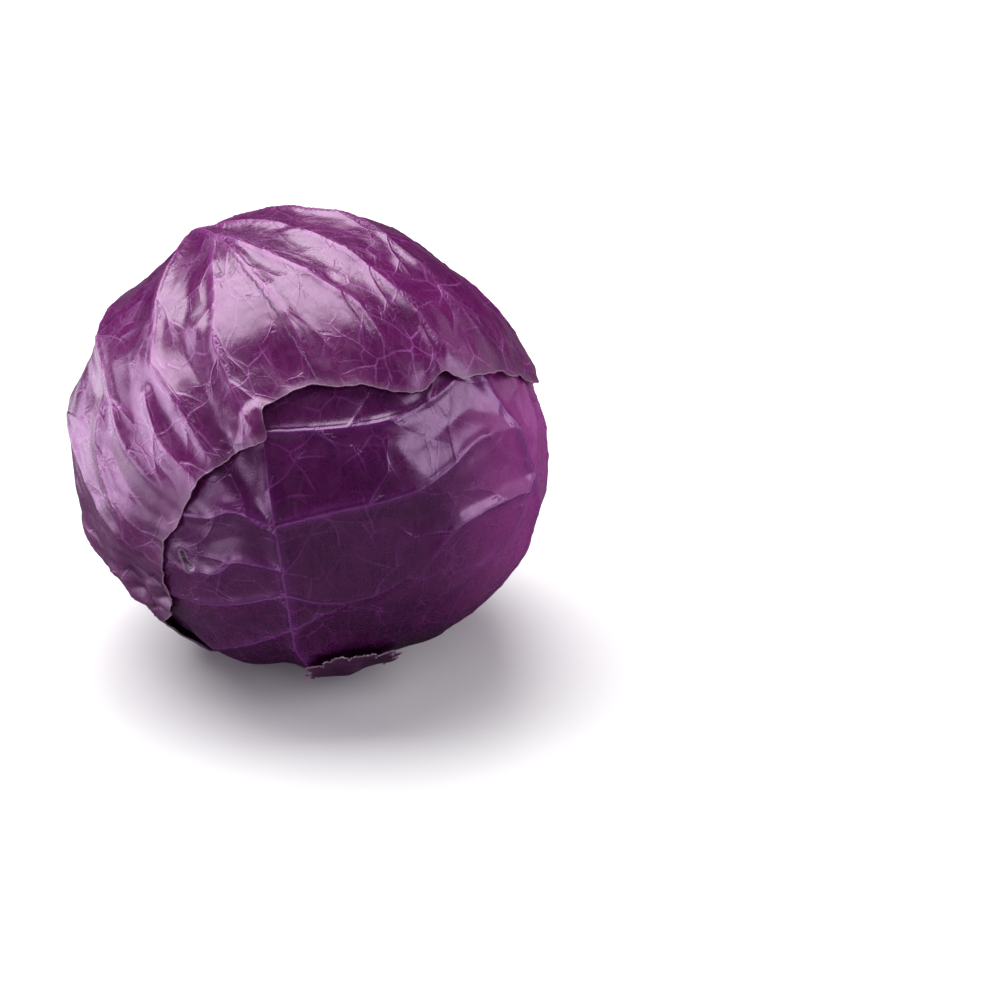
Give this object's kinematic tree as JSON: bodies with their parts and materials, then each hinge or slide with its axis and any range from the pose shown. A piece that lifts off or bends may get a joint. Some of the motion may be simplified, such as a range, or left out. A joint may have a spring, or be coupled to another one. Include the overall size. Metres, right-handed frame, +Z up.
{
  "type": "red cabbage head",
  "caption": "Whole red cabbage head of tightly wrapped purple leaves, standing on its cut stem.",
  "frame": {"origin": "centre of the stem's cut face, on the surface that the head stands on", "axes": "+Z up through the crown, -Y towards the front, where the front leaf shows under the cap leaf, +X to the right seen from the front"},
  "size_m": [0.1646, 0.1635, 0.1599],
  "materials": {
    "stem": "cut plant stem, pale cream, dry",
    "heart_leaf": "packed inner leaves, paler purple, satin",
    "wrapper_leaf": "waxy purple leaf, semi gloss",
    "front_leaf": "waxy dark purple leaf, semi gloss",
    "cap_leaf": "waxy magenta purple leaf with pale ribs, semi gloss"
  },
  "bodies": {
    "root": {"stem": "stem", "heart": "heart_leaf", "leaf_left": "wrapper_leaf", "leaf_back": "wrapper_leaf", "leaf_right": "wrapper_leaf", "leaf_front": "front_leaf", "leaf_cap": "cap_leaf", "leaf_stub": "wrapper_leaf"}
  },
  "joints": []
}
